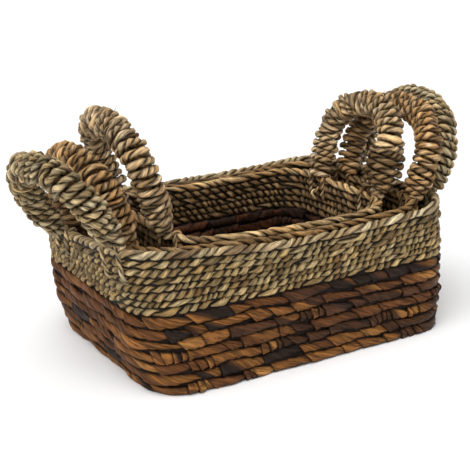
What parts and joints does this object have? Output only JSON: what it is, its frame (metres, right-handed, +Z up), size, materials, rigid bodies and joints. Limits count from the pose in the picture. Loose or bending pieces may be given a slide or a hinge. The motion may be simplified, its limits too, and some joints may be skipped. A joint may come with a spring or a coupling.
{
  "type": "nested bread basket set",
  "caption": "Nested oblong bread baskets of coiled banana-leaf rope and twisted seagrass cord, with cord-wrapped rope hoops for handles, that lift out of one another.",
  "frame": {"origin": "middle of the flat underside of the largest basket", "axes": "+X along the length, towards the right handles; -Y the front long side; +Z up, out of the open top"},
  "size_m": [0.4742, 0.2429, 0.2452],
  "materials": {
    "outer_leaf": "satin, folded leaf strip, brown with orange and grey-black patches",
    "outer_seagrass": "matt, pale olive-beige twisted two-ply cord",
    "outer_wrap": "matt, pale two-ply cord wound close",
    "outer_core": "matt rope",
    "middle_leaf": "satin, folded leaf strip",
    "middle_seagrass": "matt, honey-brown twisted two-ply cord",
    "middle_wrap": "matt, brown two-ply cord wound close",
    "middle_core": "matt rope",
    "inner_leaf": "satin, folded leaf strip, reddish brown",
    "inner_seagrass": "matt, honey-brown twisted two-ply cord",
    "inner_wrap": "matt, brown-beige two-ply cord wound close",
    "inner_core": "matt rope"
  },
  "bodies": {
    "outer_basket": {"outer_base_panel": "outer_leaf", "outer_leaf_wall": "outer_leaf", "outer_seagrass_wall": "outer_seagrass", "outer_rim_cord": "outer_seagrass", "outer_left_handle_front_lashing": "outer_wrap", "outer_left_handle_back_lashing": "outer_wrap", "outer_right_handle_front_lashing": "outer_wrap", "outer_right_handle_back_lashing": "outer_wrap"},
    "outer_left_handle": {"outer_left_handle_wrap": "outer_wrap", "outer_left_handle_core": "outer_core"},
    "outer_right_handle": {"outer_right_handle_wrap": "outer_wrap", "outer_right_handle_core": "outer_core"},
    "middle_basket": {"middle_base_panel": "middle_leaf", "middle_leaf_wall": "middle_leaf", "middle_seagrass_wall": "middle_seagrass", "middle_rim_cord": "middle_seagrass", "middle_left_handle_wrap": "middle_wrap", "middle_left_handle_core": "middle_core", "middle_left_handle_front_lashing": "middle_wrap", "middle_left_handle_back_lashing": "middle_wrap", "middle_right_handle_wrap": "middle_wrap", "middle_right_handle_core": "middle_core", "middle_right_handle_front_lashing": "middle_wrap", "middle_right_handle_back_lashing": "middle_wrap"},
    "inner_basket": {"inner_base_panel": "inner_leaf", "inner_leaf_wall": "inner_leaf", "inner_seagrass_wall": "inner_seagrass", "inner_rim_cord": "inner_seagrass", "inner_left_handle_front_lashing": "inner_wrap", "inner_left_handle_back_lashing": "inner_wrap", "inner_right_handle_front_lashing": "inner_wrap", "inner_right_handle_back_lashing": "inner_wrap"},
    "inner_left_handle": {"inner_left_handle_wrap": "inner_wrap", "inner_left_handle_core": "inner_core"},
    "inner_right_handle": {"inner_right_handle_wrap": "inner_wrap", "inner_right_handle_core": "inner_core"}
  },
  "joints": [
    {"name": "middle_basket_lift", "type": "slide", "parent": "outer_basket", "child": "middle_basket", "axis": [0, 0, 1], "range_m": [0, 0.23]},
    {"name": "inner_basket_lift", "type": "slide", "parent": "middle_basket", "child": "inner_basket", "axis": [0, 0, 1], "range_m": [0, 0.23]},
    {"name": "outer_left_handle_bend", "type": "hinge", "parent": "outer_basket", "child": "outer_left_handle", "pos_m": [-0.19853, -0.03622, 0.14779], "axis": [0.1253, -0.986, 0.1101], "range_deg": [0, 20]},
    {"name": "outer_right_handle_bend", "type": "hinge", "parent": "outer_basket", "child": "outer_right_handle", "pos_m": [0.17644, -0.01903, 0.15137], "axis": [-0.0129, 0.9999, 0.0003], "range_deg": [0, 20]},
    {"name": "inner_left_handle_bend", "type": "hinge", "parent": "inner_basket", "child": "inner_left_handle", "pos_m": [-0.12491, -0.00608, 0.14875], "axis": [0.0833, 0.9963, -0.0194], "range_deg": [0, 20]},
    {"name": "inner_right_handle_bend", "type": "hinge", "parent": "inner_basket", "child": "inner_right_handle", "pos_m": [0.11905, -0.01256, 0.14858], "axis": [0.0585, -0.9983, 0.0062], "range_deg": [0, 20]}
  ]
}
